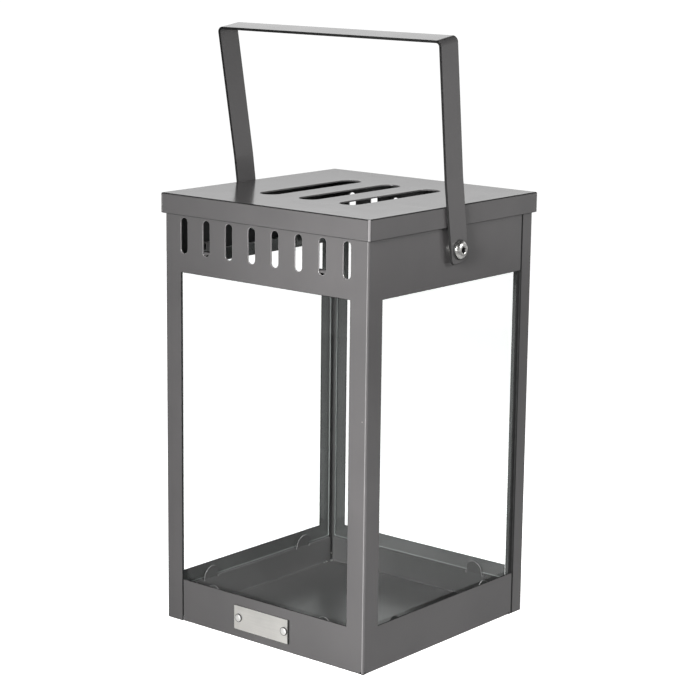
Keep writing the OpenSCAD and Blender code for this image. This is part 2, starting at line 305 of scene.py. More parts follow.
def add_turned(bm, profile, place, count=64, closed=False):
    """Adds a turned solid along an axis. profile lists (along, radius); a radius may be a function of
    the angle. The first and last points are on the axis, or the profile is closed on itself."""
    rings = []
    for along, radius in profile:
        if not callable(radius) and radius == 0:
            rings.append([bm.verts.new(Vector(place(along, 0, 0)) * MM)])
            continue
        ring = []
        for i in range(count):
            a = 2 * math.pi * i / count
            r = radius(a) if callable(radius) else radius
            ring.append(bm.verts.new(Vector(place(along, r * math.cos(a), r * math.sin(a))) * MM))
        rings.append(ring)
    pairs = list(zip(rings, rings[1:]))
    if closed:
        pairs.append((rings[-1], rings[0]))
    for low, high in pairs:
        for i in range(count):
            j = (i + 1) % count
            corners = [low[i % len(low)], low[j % len(low)], high[j % len(high)], high[i % len(high)]]
            kept = [v for n, v in enumerate(corners) if v not in corners[:n]]
            if len(kept) > 2:
                bm.faces.new(kept)


class Bent:
    """A line in a plane, made of stretches given as (length, turn in degrees), a left turn positive."""

    def __init__(self, x, y, heading, stretches):
        self.parts = []
        self.length = 0.0
        heading = math.radians(heading)
        for length, turn in stretches:
            self.parts.append((self.length, x, y, heading, length, math.radians(turn)))
            x, y, heading = self.moved(x, y, heading, length, length, math.radians(turn))
            self.length += length
        self.end = (x, y)

    @staticmethod
    def moved(x, y, heading, along, length, turn):
        """Where the line is, and its heading, a way along a stretch."""
        if not turn:
            return x + along * math.cos(heading), y + along * math.sin(heading), heading
        r = length / turn
        now = heading + along / r
        return x + r * (math.sin(now) - math.sin(heading)), y - r * (math.cos(now) - math.cos(heading)), now

    def at(self, u, depth):
        """Point at the distance u along the line and depth to its left."""
        start, x, y, heading, length, turn = [p for p in self.parts if p[0] <= u or p is self.parts[0]][-1]
        x, y, heading = self.moved(x, y, heading, u - start, length, turn)
        return x - depth * math.sin(heading), y + depth * math.cos(heading)

    def start(self, index):
        """Distance along the line to where a stretch starts."""
        return self.parts[index][0]

    def creases(self, axis=0, low=-FAR, high=FAR, shift=0.0, sign=1):
        """Crease lines where a stretch turns, no more than BEND_STEP apart."""
        found = []
        for start, _, _, _, length, turn in self.parts:
            if turn:
                count = math.ceil(abs(math.degrees(turn)) / BEND_STEP)
                found += [(axis, shift + sign * (start + length * i / count), low, high)
                          for i in range(count + 1)]
        return found


def arc(r, turn):
    """A round stretch of a bent line, with the radius on the line."""
    return (r * math.radians(abs(turn)), turn)


def quarter(turns, point):
    """The point turned about Z by a number of quarter turns."""
    x, y, z = point
    for _ in range(turns % 4):
        x, y = -y, x
    return x, y, z


# ---- Shells ----

FOLD_R = 1.4
NOTCH = 0.6


def shell_plan():
    """Outer face of a shell in plan: its stepped edge and leg, the vent face, then the side face."""
    turn, tight_r, wide_r = 70.0, 0.2, 0.2 + SHEET
    sine, cosine = math.sin(math.radians(turn)), math.cos(math.radians(turn))
    slant = (SHEET - (tight_r + wide_r) * (1 - cosine)) / sine
    step_reach = (tight_r + wide_r) * sine + slant * cosine
    # The step is over just before the neighbouring shell's edge
    step_end = HALF - LEG_W - SEAM_GAP + FIT
    return Bent(SHEET - HALF, POST_W - HALF, -90, [
        (step_end - (HALF - POST_W), 0),
        arc(tight_r, -turn), (slant, 0), arc(wide_r, turn),
        (HALF - BEND_R - step_end - step_reach, 0), arc(BEND_R, 90),
        (2 * (HALF - BEND_R), 0), arc(BEND_R, 90),
        (2 * HALF - BEND_R - LEG_W - SEAM_GAP, 0)])


def make_shell(name, material, turns, node, rivet_holes):
    """One bent shell with its windows, vents and turned-in rail flanges."""
    plan = shell_plan()
    fold = Bent(0, FOLD_R, -90, [arc(FOLD_R, 90), (RAIL_FLANGE - FOLD_R, 0)])
    flat = HALF - BEND_R
    joint_end, face_start, corner, side_start = (plan.start(i) for i in (4, 6, 7, 8))

    def face(x):
        return face_start + flat + x

    def side(y):
        return side_start + flat + y

    window = HALF - POST_W
    side_end = HALF - LEG_W - SEAM_GAP
    rail_end = RAIL_SLIT - window
    flange_tip = FOLD_R - fold.length
    arc_end = FOLD_R * (1 - math.pi / 2)
    notch_top = FOLD_R + CUT_R
    post_cut = flat - 0.2
    flange_cut = post_cut - NOTCH
    mitre_tip = HALF - RAIL_FLANGE - CUT_R
    flange_end = window - NOTCH
    outline = filleted([
        (0, 0, CUT_R), (face(-window), 0, CUT_R),
        (face(-window), WINDOW_TOP, EDGE), (face(window), WINDOW_TOP, EDGE),
        (face(window), RAIL_H, EDGE), (face(rail_end), RAIL_H, CUT_R),
        (face(rail_end), flange_tip, CUT_R), (face(mitre_tip), flange_tip, CUT_R),
        (face(flange_cut), arc_end - CUT_R, CUT_R), (face(flange_cut), notch_top, EDGE),
        (face(post_cut), notch_top, EDGE), (face(post_cut), 0, CUT_R),
        (side(-post_cut), 0, CUT_R), (side(-post_cut), notch_top, EDGE),
        (side(-flange_cut), notch_top, EDGE), (side(-flange_cut), arc_end - CUT_R, CUT_R),
        (side(-mitre_tip), flange_tip, CUT_R), (side(flange_end), flange_tip, CUT_R),
        (side(flange_end), notch_top, EDGE), (side(window), notch_top, EDGE),
        (side(window), 0, CUT_R), (side(side_end), 0, CUT_R),
        (side(side_end), RAIL_H, CUT_R), (side(-window), RAIL_H, EDGE),
        (side(-window), WINDOW_TOP, EDGE), (side(side_end), WINDOW_TOP, CUT_R),
        (side(side_end), BODY_TOP, CUT_R), (0, BODY_TOP, CUT_R)])
    loops = [outline, round_hole(side(0), PIVOT_Z, SCREW_R + FIT)]
    for i in range(VENT_COUNT):
        x = (i - (VENT_COUNT - 1) / 2) * VENT_PITCH
        loops.append(slot_hole(face(x), VENT_Z, VENT_W, VENT_H))
    if rivet_holes:
        loops += [round_hole(face(s * RIVET_X), RIVET_Z, RIVET_R + FIT) for s in (-1, 1)]

    flanges = [(face(rail_end), face(flange_cut)), (side(-flange_cut), side(flange_end))]
    creases = plan.creases()
    for low, high in flanges:
        creases += fold.creases(1, low, high, FOLD_R, -1)

    def place(u, v, depth):
        inward, z = depth, v
        if v < FOLD_R and any(low - NEAR <= u <= high + NEAR for low, high in flanges):
            inward, z = fold.at(FOLD_R - v, depth)
        x, y = plan.at(u, inward)
        return quarter(turns, (x, y, z))

    # The painted highlight covers this share of the corner's bend
    edge, highlight_share = 0.35, 0.34
    highlight_end = corner + highlight_share * (side_start - corner)

    def zone(u, v):
        """The stepped edge, near black as painted shade in the joint, and the first third of the corner's
        bend, lighter as a painted highlight.
        """
        if u < joint_end:
            return APART
        return RIM if corner < u < highlight_end else OUTER

    bm = bmesh.new()
    # The outline's cut edges are near black, painted shade, and the holes' cut edges lighter, a painted
    # highlight
    add_sheet(bm, loops, SHEET, place, creases, edge, (APART, RIM), zone)
    finished(name, bm, material, "body", "coated_steel", node,
             inner=COAT_INSIDE_SHADED, apart=PAINTED_SHADE, rim=COAT_HIGHLIGHT)


# ---- Tray ----

def cross_outline(half, flap):
    """Outline of a square with the same flap on each side. flap lists its corners from left to right
    on the lower side, and half is where the cut between two flaps ends."""
    corners = []
    for turns in range(4):
        for u, v, r in [(-half, -half, 0)] + flap:
            x, y, _ = quarter(turns, (u, v, 0))
            corners.append((x, y, r))
    return corners


def flap_turns(u, v, fold_at):
    """How many quarter turns the flap that holds this point is from the lower one, or None."""
    if max(abs(u), abs(v)) <= fold_at:
        return None
    if abs(v) >= abs(u):
        return 0 if v < 0 else 2
    return 1 if u > 0 else 3


def cross_creases(path, fold_at, spans):
    """Creases of one bent flap, on all four sides, between the ends of each span."""
    found = []
    for low, high in spans:
        for _, at, low_end, high_end in path.creases(0, low, high):
            for axis in (0, 1):
                for sign in (-1, 1):
                    found.append((axis, sign * (fold_at + at), low_end, high_end))
                    found.append((axis, sign * (fold_at + at), -high_end, -low_end))
    return found


def make_tray(material):
    """The pan: a floor with four walls, which turn out into the ledge and run on up as glass tabs."""
    bend_r, ledge_r, lean_r = 1.6, 0.6, 2.0
    fold_at = TRAY_WALL - bend_r
    wall_top = LEDGE_Z - TRAY_T
    rise = wall_top - ledge_r - TRAY_BOTTOM - bend_r
    ledge_path = Bent(fold_at, TRAY_BOTTOM, 0, [
        arc(bend_r, 90), (rise, 0), arc(ledge_r, -90), (LEDGE_OUT - TRAY_WALL - ledge_r, 0)])
    tab_path = Bent(fold_at, TRAY_BOTTOM, 0, [
        arc(bend_r, 90), (rise + ledge_r, 0), arc(lean_r, TAB_LEAN), (TAB_LEN, 0)])
    half_wall = fold_at - 0.3
    half_ledge = TRAY_WALL - 3
    slit_end = ledge_path.start(2) - CUT_R
    ledge_end = ledge_path.length
    tab_round = tab_path.start(2) + TAB_LEN - TAB_W / 2
    slit = 1.5
    flap = [(-half_wall, -fold_at - slit_end, CUT_R), (-half_ledge, -fold_at - slit_end, EDGE),
            (-half_ledge, -fold_at - ledge_end, CUT_R)]
    for tab in (-TAB_PITCH / 2, TAB_PITCH / 2):
        left, right = tab - TAB_W / 2, tab + TAB_W / 2
        flap += [(left - slit, -fold_at - ledge_end, CUT_R), (left - slit, -fold_at - slit_end, CUT_R),
                 (left, -fold_at - slit_end, CUT_R)]
        flap += [(u, v, 0) for u, v in arc_points(tab, -fold_at - tab_round, TAB_W / 2, 180, 360, 7.5)]
        flap += [(right, -fold_at - slit_end, CUT_R), (right + slit, -fold_at - slit_end, CUT_R),
                 (right + slit, -fold_at - ledge_end, CUT_R)]
    flap += [(half_ledge, -fold_at - ledge_end, CUT_R), (half_ledge, -fold_at - slit_end, EDGE),
             (half_wall, -fold_at - slit_end, CUT_R)]
    outline = filleted(cross_outline(half_wall, flap))

    tab_in, tab_out = (TAB_PITCH - TAB_W) / 2, (TAB_PITCH + TAB_W) / 2
    wall_bend = Bent(0, 0, 0, [arc(bend_r, 90)])
    ledge_bend = Bent(0, 0, 0, [(ledge_path.start(2), 0), arc(ledge_r, -90)])
    tab_bend = Bent(0, 0, 0, [(tab_path.start(2), 0), arc(lean_r, TAB_LEAN)])
    creases = cross_creases(wall_bend, fold_at, [(-half_wall, half_wall)])[::2]
    creases += cross_creases(ledge_bend, fold_at, [(tab_out + slit, half_ledge)])
    creases += cross_creases(ledge_bend, fold_at, [(slit - tab_in, tab_in - slit)])[::2]
    creases += cross_creases(tab_bend, fold_at, [(tab_in, tab_out)])

    def on_tab(across):
        return tab_in - 0.1 <= abs(across) <= tab_out + 0.1

    def place(u, v, depth):
        turns = flap_turns(u, v, fold_at)
        if turns is None:
            return u, -v, TRAY_BOTTOM + depth
        t, s, _ = quarter(-turns, (u, v, 0))
        path = tab_path if on_tab(t) else ledge_path
        out, z = path.at(-s - fold_at, depth)
        x, y, _ = quarter(turns, (t, -out, 0))
        return x, -y, z

    def zone(u, v):
        """The ledge, which takes the outer coat and so is lighter than the pan, a painted light."""
        across, out = sorted((abs(u), abs(v)))
        return APART if out - fold_at > ledge_path.start(3) and not on_tab(across) else OUTER

    bm = bmesh.new()
    # The pan's cut edges take the lighter coat, a painted highlight
    add_sheet(bm, [outline], TRAY_T, place, creases, rims=(RIM, RIM), zone=zone)
    finished("tray_pan", bm, material, "body", "coated_steel", "base_tray", apart=COAT, rim=COAT_HIGHLIGHT)


def make_tray_welds(material):
    """Small weld spots in the pan's four corners: two up the corner, and two along the floor's edge."""
    corner = TRAY_WALL - TRAY_T - 1.6
    floor = TRAY_BOTTOM + TRAY_T
    # Each spot's place from the corner, and its radius
    spots = [(0, 0, 0.4, 1.1), (-0.1, 0.1, 6.5, 0.8), (-5.0, 0.8, 0.5, 0.9), (-7.4, 0.9, 0.4, 0.7)]
    # Height and radius along a spot's outline, for a spot of radius 1
    dome = [(-0.9, 0), (-0.6, 0.8), (0, 1), (0.5, 0.8), (0.8, 0)]
    bm = bmesh.new()
    for turns in range(4):
        for x, y, z, r in spots:
            profile = [(floor + z + r * up, r * out) for up, out in dome]
            add_turned(bm, profile, lambda along, a, b: quarter(
                turns, (corner + x + a, corner + y + b, along)), 12)
    finished("tray_weld_spots", bm, material, "body", "coated_steel")


# ---- Glass and its clips ----

def make_pane(name, material, turns, node):
    """A pane with ground edges."""
    ground_edge = 0.35
    corner_r = 1.0
    thick = PANE_HIGH.y - PANE_LOW.y
    loops = [rectangle(PANE_LOW.x, PANE_LOW.z, PANE_HIGH.x, PANE_HIGH.z, corner_r)]
    bm = bmesh.new()
    add_sheet(bm, loops, thick, lambda u, v, depth: quarter(turns, (u, PANE_LOW.y + depth, v)),
              edge=ground_edge, rims=(RIM, RIM))
    finished(name, bm, material, "body", "clear_glass", node, rim=GROUND_GLASS)


def make_clips(name, material, turns, node):
    """Two clips, each a strip bent over the pane's edge, with a hole in its foot."""
    bend_r = 1.2
    foot_r = 1.5
    lip_low = 254.5
    lip_face = CLIP_HIGH.y
    bridge = lip_face - CLIP_LOW.y - 2 * bend_r
    bend_z = CLIP_HIGH.z - bend_r
    path = Bent(lip_face, lip_low, 90, [
        (bend_z - lip_low, 0), arc(bend_r, 90), (bridge, 0), arc(bend_r, 90), (bend_z - CLIP_LOW.z, 0)])
    hole_u = path.length - (CLIP_HOLE_Z - CLIP_LOW.z)
    r = CLIP_W / 2
    lip = arc_points(r, 0, r, 90, 270, 10)
    foot = filleted([(r, -r, 0), (path.length, -r, foot_r), (path.length, r, foot_r), (r, r, 0)])[1:-1]
    loops = [lip + foot, round_hole(hole_u, 0, CLIP_HOLE_R)]
    bm = bmesh.new()
    for tab in (-TAB_PITCH / 2, TAB_PITCH / 2):
        def place(u, v, depth):
            y, z = path.at(u, depth)
            return quarter(turns, (tab + v, y, z))
        add_sheet(bm, loops, CLIP_T, place, path.creases())
    finished(name, bm, material, "body", "coated_steel", node)


# ---- Lid ----

def make_lid(material):
    """The lid: a slotted plate with its rim folded down on four sides and its corners welded."""
    fold_at = LID_HIGH.x - LID_FOLD_R
    fold = Bent(fold_at, -LID_HIGH.z, 0, [
        arc(LID_FOLD_R, 90), (LID_HIGH.z - LID_LOW.z - LID_FOLD_R, 0)])
    half_rim = fold_at - 0.15
    rim_end = fold_at + fold.length
    outline = filleted(cross_outline(half_rim, [
        (-half_rim, -rim_end, CUT_R), (half_rim, -rim_end, CUT_R)]))
    loops = [outline]
    for i in range(LID_SLOT_COUNT):
        x = (i - (LID_SLOT_COUNT - 1) / 2) * LID_SLOT_PITCH
        loops.append(slot_hole(x, 0, LID_SLOT_W, LID_SLOT_L))

    def place(u, v, depth):
        turns = flap_turns(u, v, fold_at)
        if turns is None:
            return u, v, LID_HIGH.z - depth
        t, s, _ = quarter(-turns, (u, v, 0))
        out, z = fold.at(-s - fold_at, depth)
        x, y, _ = quarter(turns, (t, -out, 0))
        return x, y, -z

    rim_bend = Bent(0, 0, 0, [arc(LID_FOLD_R, 90)])
    creases = cross_creases(rim_bend, fold_at, [(-half_rim, half_rim)])[::2]
    shade_start, shade_end = 0.17 * rim_bend.length, 0.67 * rim_bend.length

    def zone(u, v):
        """The dark line along the fold, a painted shade."""
        return APART if shade_start < max(abs(u), abs(v)) - fold_at < shade_end else OUTER

    bm = bmesh.new()
    # The rim's cut edges are near black, a painted shadow under the lid; the slots' edges keep the outer
    # coat
    add_sheet(bm, loops, LID_T, place, creases, rims=(APART, OUTER), zone=zone)
    # A ground weld closes each corner, in the lighter coat, a painted highlight along the corner
    weld_r, weld_top_r, short = 1.05, 0.8, 0.1
    centre = LID_HIGH.x - weld_r
    low, high = LID_LOW.z + short, LID_HIGH.z - short
    profile = filleted([(low, 0, 0), (low, weld_r, EDGE), (high, weld_r, weld_top_r), (high, 0, 0)], 15)
    first = len(bm.faces)
    for turns in range(4):
        add_turned(bm, profile, lambda along, a, b: quarter(turns, (centre + a, centre + b, along)), 32)
    for face in list(bm.faces)[first:]:
        face.material_index = RIM
    finished("lid_plate", bm, material, "lid", "coated_steel", "lid",
             inner=COAT_INSIDE_SHADED, apart=PAINTED_SHADE, rim=COAT_HIGHLIGHT)


# ---- Handle ----

def make_handle(material):
    """The strap: straight up from its pivots, spread a little, and bent over at the top."""
    leg_end = STRAP_W / 2
    side_r, edge = 12.0, 0.4
    spread = math.radians(LEG_SPREAD)
    top_rise = HANDLE_BEND_R * (1 + math.sin(spread))
    slope = (HANDLE_REACH - top_rise - LEG_STRAIGHT - side_r * math.sin(spread)) / math.cos(spread)
    right = [(leg_end + LEG_STRAIGHT, 0), arc(side_r, -LEG_SPREAD), (slope, 0),
             arc(HANDLE_BEND_R, 90 + LEG_SPREAD)]
    half_bar = Bent(STRAP_OUT, -leg_end, 90, right).end[0]
    stretches = right + [(2 * half_bar, 0)] + right[::-1]
    path = Bent(STRAP_OUT, -leg_end, 90, stretches)
    loops = [rectangle(0, -leg_end, path.length, leg_end, LEG_END_R)]
    loops += [round_hole(u, 0, SLEEVE_R + FIT) for u in (leg_end, path.length - leg_end)]
    cosine, sine = math.cos(HANDLE_TILT), math.sin(HANDLE_TILT)

    def place(u, v, depth):
        x, up = path.at(u, depth)
        across = -v
        return x, across * cosine - up * sine, PIVOT_Z + across * sine + up * cosine

    bm = bmesh.new()
    # The strap's cut edges are near black, painted shade along its sides; the holes' edges keep the coat
    add_sheet(bm, loops, STRAP_T, place, path.creases(), edge, (APART, OUTER))
    finished("handle_strap", bm, material, "handle", "coated_steel", "handle", apart=PAINTED_SHADE)


# ---- Pivots, drawn for the right side and turned half a turn for the left one ----

def hexagon(across_flats):
    """Radius of a hexagon as a function of the angle."""
    def radius(angle):
        return across_flats / 2 / math.cos((angle + math.pi / 6) % (math.pi / 3) - math.pi / 6)
    return radius


def smaller(radius, limit):
    """The smaller of a radius that depends on the angle and a plain one, for chamfered corners."""
    return lambda angle: min(radius(angle), limit)


def on_pivot(turns):
    """Place for pieces turned about the pivot axis, with their distance from the middle along it."""
    return lambda along, a, b: quarter(turns, (along, a, PIVOT_Z + b))


def make_ring(name, material, slot, node, turns, corners):
    """Bush or washer, from the corners of its section as (along, radius, rounding)."""
    bm = bmesh.new()
    add_turned(bm, filleted(corners, 22.5), on_pivot(turns), 72, closed=True)
    finished(name, bm, material, "body", slot, node)


def make_screw(name, material, node, turns):
    """Button head with a hexagon socket, on a shank that ends in a few turns of thread."""
    tip, top = (corner.x for corner in cad_box("right_pivot_screw"))
    head = WASHER_HIGH.x
    head_r, rim, flat_r, socket_af, socket_depth = 6.25, 0.7, 3.0, 4.0, 1.8
    dome = top - head - rim
    dome_r = (dome ** 2 + (head_r - flat_r) ** 2) / (2 * dome)
    dome_sweep = math.degrees(math.asin((head_r - flat_r) / dome_r))
    profile = [(tip, 0), (tip, SCREW_R - 0.5)]
    chamfer, pitch, thread_turns, root_r = 0.3, 1.0, 3, SCREW_R - 0.45
    for i in range(thread_turns):
        start = tip + chamfer + i * pitch
        profile += [(start, SCREW_R), (start + 0.25 * pitch, SCREW_R),
                    (start + 0.55 * pitch, root_r), (start + 0.7 * pitch, root_r)]
    profile += [(tip + chamfer + thread_turns * pitch, SCREW_R), (head, SCREW_R), (head, head_r - 0.2),
                (head + 0.06, head_r - 0.06), (head + 0.2, head_r)]
    profile += [(top - dome_r + along, flat_r + radius)
                for radius, along in arc_points(0, 0, dome_r, 90 - dome_sweep, 90, 6)]
    socket = hexagon(socket_af)
    profile += [(top, 2.6), (top - 0.04, 2.5), (top - 0.22, socket), (top - socket_depth, socket),
                (top - socket_depth - 0.5, 0)]
    bm = bmesh.new()
    add_turned(bm, profile, on_pivot(turns), 72)
    # The socket's faces are near black, painted shade in the recess
    for face in bm.faces:
        centre = face.calc_center_median() / MM
        off_axis = math.hypot(centre.y, centre.z - PIVOT_Z)
        if top - socket_depth - 0.6 < abs(centre.x) < top - 0.25 and off_axis < socket_af / 2 + 0.4:
            face.material_index = APART
    finished(name, bm, material, "body", "screw_steel", node, apart=PAINTED_SHADE)


def make_nut(name, steel, nylon, node, turns):
    """Hexagon lock nut with chamfered corners, a rolled collar and a nylon insert."""
    low, high = (corner.x for corner in cad_box("right_lock_nut"))
    flats, collar_r, insert_r, body = 10.0, 4.3, 3.8, 4.4
    hexa = hexagon(flats)
    shoulder = high - body
    profile = [(low + 0.5, insert_r), (low + 0.1, insert_r + 0.05), (low, insert_r + 0.2),
               (low + 0.15, collar_r - 0.08), (low + 0.5, collar_r), (shoulder - 0.3, collar_r),
               (shoulder, collar_r + 0.25), (shoulder, flats / 2 - 0.15),
               (shoulder + 0.35, smaller(hexa, flats / 2 + 0.3)), (shoulder + 0.6, hexa),
               (high - 0.6, hexa), (high - 0.35, smaller(hexa, flats / 2 + 0.3)),
               (high, flats / 2 - 0.15), (high, SCREW_R + 0.4), (high - 0.35, SCREW_R + FIT),
               (low + 1.4, SCREW_R + FIT), (low + 1.4, insert_r)]
    bm = bmesh.new()
    add_turned(bm, profile, on_pivot(turns), 72, closed=True)
    finished(name, bm, steel, "body", "zinc_hardware", node)
    bm = bmesh.new()
    insert = [(low + 0.35, insert_r - FIT, 0.1), (low + 1.35, insert_r - FIT, 0.1),
              (low + 1.35, SCREW_R + 0.03, 0.1), (low + 0.35, SCREW_R + 0.03, 0.2)]
    add_turned(bm, filleted(insert, 22.5), on_pivot(turns), 48, closed=True)
    finished(name + "_insert", bm, nylon, "body", "black_nylon")


def make_pivots(zinc, screw_steel, nylon):
    """All the hardware of both pivots."""
    bore = SCREW_R + FIT
    flange_x = STRAP_OUT - STRAP_T - STRAP_PLAY
    inner_low, inner_high = (corner.x for corner in cad_box("right_inner_washer"))
    for side, turns in (("right", 0), ("left", 2)):
        make_ring(f"{side}_shoulder_bush", zinc, "zinc_hardware", f"{side}_pivot_bush", turns, [
            (HALF, 6.6, 0.3), (flange_x, 6.6, 0.3), (flange_x, SLEEVE_R, 0.1),
            (WASHER_LOW.x, SLEEVE_R, 0.15), (WASHER_LOW.x, bore, 0.15), (HALF, bore, 0.15)])
        make_ring(f"{side}_nylon_ring", nylon, "black_nylon", f"{side}_nylon_washer", turns, [
            (WASHER_LOW.x, 6.85, 0.15), (WASHER_HIGH.x, 6.85, 0.2), (WASHER_HIGH.x, bore, 0.1),
            (WASHER_LOW.x, bore, 0.1)])
        make_ring(f"{side}_flat_washer", zinc, "zinc_hardware", f"{side}_inner_washer", turns, [
            (inner_low, 6.2, 0.25), (inner_high, 6.2, 0.1), (inner_high, bore, 0.1),
            (inner_low, bore, 0.1)])
        make_screw(f"{side}_button_screw", screw_steel, f"{side}_pivot_screw", turns)
        make_nut(f"{side}_nut", zinc, nylon, f"{side}_lock_nut", turns)


# ---- Name plate ----

def make_plate(material):
    """Blank plate with a near-black line along its right, top and bottom edges and near-black cut edges,
    all painted shadow.
    """
    corner_r, edge, side_shadow, long_shadow = 0.8, 0.15, 1.3, 0.5
    shadow_u = PLATE_HIGH.x - side_shadow
    shadow_low, shadow_high = PLATE_LOW.z + long_shadow, PLATE_HIGH.z - long_shadow
    loops = [rectangle(PLATE_LOW.x, PLATE_LOW.z, PLATE_HIGH.x, PLATE_HIGH.z, corner_r)]
    loops += [round_hole(s * RIVET_X, RIVET_Z, RIVET_R + FIT) for s in (-1, 1)]
    creases = [(0, shadow_u, -FAR, FAR), (1, shadow_low, -FAR, FAR), (1, shadow_high, -FAR, FAR)]

    def place(u, v, depth):
        return u, PLATE_LOW.y + depth, v

    def zone(u, v):
        return OUTER if u < shadow_u and shadow_low < v < shadow_high else APART

    bm = bmesh.new()
    add_sheet(bm, loops, PLATE_HIGH.y - PLATE_LOW.y, place, creases, edge, (APART, APART), zone)
    finished("blank_plate", bm, material, "body", "plate_steel", "name_plate", apart=PAINTED_SHADE)


def make_rivet(side, sign, material):
    """Rivet with a shallow dome on a low wall, and its formed tail behind the sheet; wall and tail are near
    black, painted shade.
    """
    low, high = cad_box("right_plate_rivet")
    head, head_r = PLATE_LOW.y - low.y, (high.x - low.x) / 2
    wall, shoulder, lip = 0.7, 0.35, 0.05
    tail_end, tail_r = PLATE_LOW.y - high.y, 1.7
    tail_start = tail_end + high.y + HALF - SHEET
    cap, base_r = head - wall - lip, head_r - shoulder
    cap_r = (cap ** 2 + base_r ** 2) / (2 * cap)
    sweep = math.degrees(math.asin(base_r / cap_r))
    profile = filleted([(tail_end, 0, 0), (tail_end, tail_r, 0.3), (tail_start, tail_r, 0.1),
                        (tail_start, RIVET_R, 0), (0, RIVET_R, 0)], 22.5)
    profile += [(0, head_r - 0.08), (lip, head_r), (wall, head_r)]
    profile += [(head - cap_r + along, radius)
                for radius, along in arc_points(0, 0, cap_r, 90 - sweep, 90, 4)[:-1]]
    profile.append((head, 0))

    def place(along, a, b):
        return sign * RIVET_X + a, PLATE_LOW.y - along, RIVET_Z + b

    bm = bmesh.new()
    add_turned(bm, profile, place, 48)
    for face in bm.faces:
        if face.calc_center_median().y > (PLATE_LOW.y - wall - 0.1) * MM:
            face.material_index = APART
    finished(f"{side}_dome_rivet", bm, material, "body", "plate_steel", f"{side}_plate_rivet",
             apart=PAINTED_SHADE)


# ---- Materials ----

COAT_DARK = (0.069, 0.067, 0.0675)
COAT_LIGHT = (0.080, 0.077, 0.0775)
NIB = (0.3, 0.29, 0.28)
UNDER_LID_SHADE = (0.006, 0.006, 0.006)
# Colours of the other coats, as shares of the outer colour: painted shade on the shells' inside, painted
# light and shade in the tray, and a painted highlight on the rims
SHELL_INSIDE = 0.86
TRAY_LEFT = 1.1
TRAY_REST = 0.36
# The lighter coat is a painted highlight on cut edges, the shells' corner bends and the lid's welds
HIGHLIGHT_SHARE = 2.2
COAT_ROUGH = 0.17
INSIDE_ROUGH = 0.3
COAT_SPECULAR = 0.5
TRAY_SPECULAR = 0.4
# Painted light and shade: the tray's coat turns from TRAY_LEFT to TRAY_REST between these places in X, in
# metres
TRAY_LIGHT_SPAN = (-0.09, -0.02)
# The painted shade under the lid, inside the shells, turns near black between these heights, in metres
UNDER_LID_SHADE_LINE = (0.228, 0.252)
# Nearly all of a noise's values lie in this range
NOISE_SPAN = (0.3, 0.7)


class Nodes:
    """A node tree, built by short calls. A value is a socket of another node, a number or a colour."""

    def __init__(self, tree, place):
        self.tree = tree
        self.place = self.add("ShaderNodeTexCoord").outputs[place]

    def add(self, kind, **settings):
        node = self.tree.nodes.new(kind)
        for key, value in settings.items():
            setattr(node, key, value)
        return node

    def put(self, value, target):
        """Feeds a node's input."""
        if isinstance(value, bpy.types.NodeSocket):
            self.tree.links.new(value, target)
        else:
            target.default_value = value

    def noise(self, scale, detail=2.0, roughness=0.5, place=None):
        node = self.add("ShaderNodeTexNoise")
        self.put(scale, node.inputs["Scale"])
        self.put(detail, node.inputs["Detail"])
        self.put(roughness, node.inputs["Roughness"])
        self.put(place or self.place, node.inputs["Vector"])
        return node.outputs["Fac"]

    def stretched(self, scale):
        node = self.add("ShaderNodeMapping")
        self.put(scale, node.inputs["Scale"])
        self.put(self.place, node.inputs["Vector"])
        return node.outputs["Vector"]

    def axes(self):
        """Outputs X, Y and Z of the place."""
        node = self.add("ShaderNodeSeparateXYZ")
        self.put(self.place, node.inputs["Vector"])
        return node.outputs

    def mapped(self, value, low, high, to_low, to_high, kind="LINEAR"):
        node = self.add("ShaderNodeMapRange", interpolation_type=kind)
        names = ("Value", "From Min", "From Max", "To Min", "To Max")
        for name, number in zip(names, (value, low, high, to_low, to_high)):
            self.put(number, node.inputs[name])
        return node.outputs["Result"]

    def math(self, operation, a, b):
        node = self.add("ShaderNodeMath", operation=operation)
        self.put(a, node.inputs[0])
        self.put(b, node.inputs[1])
        return node.outputs["Value"]

    def mixed(self, factor, first, second):
        """Colour between two, each a socket or a plain colour."""
        node = self.add("ShaderNodeMix", data_type="RGBA")
        self.put(factor, node.inputs["Factor"])
        for colour, target in ((first, node.inputs[6]), (second, node.inputs[7])):
            self.put((*colour, 1) if isinstance(colour, tuple) else colour, target)
        return node.outputs[2]

    def bump(self, height, distance, below=None):
        node = self.add("ShaderNodeBump")
        self.put(distance, node.inputs["Distance"])
        self.put(height, node.inputs["Height"])
        if below:
            self.put(below, node.inputs["Normal"])
        return node.outputs["Normal"]

    def bounced(self):
        """0 where the camera looks directly or through glass, 1 on what is mirrored or gives light."""
        path = self.add("ShaderNodeLightPath").outputs
        straight = self.math("MAXIMUM", path["Is Camera Ray"], path["Is Transmission Ray"])
        return self.math("SUBTRACT", 1.0, straight)

    def specks(self, scale, size, share):
        """1 on a few small round specks, 0 elsewhere. share is the part of all cells that has one."""
        cells = self.add("ShaderNodeTexVoronoi")
        self.put(scale, cells.inputs["Scale"])
        self.put(self.place, cells.inputs["Vector"])
        chance = self.add("ShaderNodeSeparateColor")
        self.put(cells.outputs["Color"], chance.inputs["Color"])
        near = self.mapped(cells.outputs["Distance"], size, size * 0.6, 0.0, 1.0)
        return self.math("MULTIPLY", near, self.math("LESS_THAN", chance.outputs["Red"], share))


class Surface(Nodes):
    """A material's node tree."""

    def __init__(self, name):
        self.material = bpy.data.materials.new(name)
        self.material.use_nodes = True
        super().__init__(self.material.node_tree, "Object")
        self.shader = self.tree.nodes["Principled BSDF"]

    def set(self, **values):
        """Sets or links the shader's inputs."""
        for key, value in values.items():
            self.put(value, self.shader.inputs[key.replace("_", " ")])


def times(colour, share):
    """The colour, darker or lighter by a share."""
    return tuple(channel * share for channel in colour)


